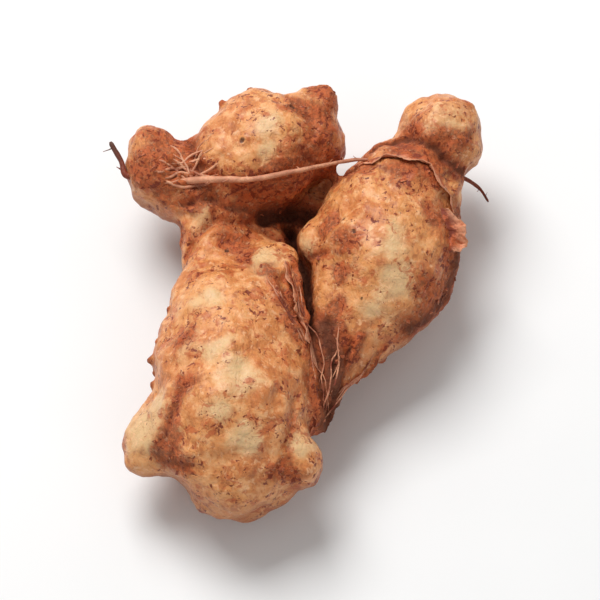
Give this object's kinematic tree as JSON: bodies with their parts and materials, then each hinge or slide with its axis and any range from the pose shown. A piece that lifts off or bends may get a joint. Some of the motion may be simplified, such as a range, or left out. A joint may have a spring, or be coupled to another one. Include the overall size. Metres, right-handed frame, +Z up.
{
  "type": "aromatic ginger root",
  "caption": "Fresh forked rhizome lying on its side: a thick toed finger with a necked, eared head, joined to a swollen side finger that ends in a round bud; thin rootlets and dry scale leaves.",
  "frame": {"origin": "middle of the bounding box, at its lowest point, on the surface that the root lies on", "axes": "+Z up from that surface, +Y along the mother finger from its toes to its head, +X towards the side finger"},
  "size_m": [0.0542, 0.0636, 0.0222],
  "materials": {
    "rhizome_skin": "fresh, slightly moist thin skin, tan with reddish brown patches",
    "rootlet_fibre": "dull fibrous",
    "dry_scale": "papery, matte"
  },
  "bodies": {
    "root": {"rhizome": "rhizome_skin", "long_rootlet": "rootlet_fibre", "ear_rootlet": "rootlet_fibre", "bud_rootlet": "rootlet_fibre", "flank_scale_leaf": "dry_scale", "bud_collar_leaf": "dry_scale", "side_finger_flake": "dry_scale"}
  },
  "joints": []
}
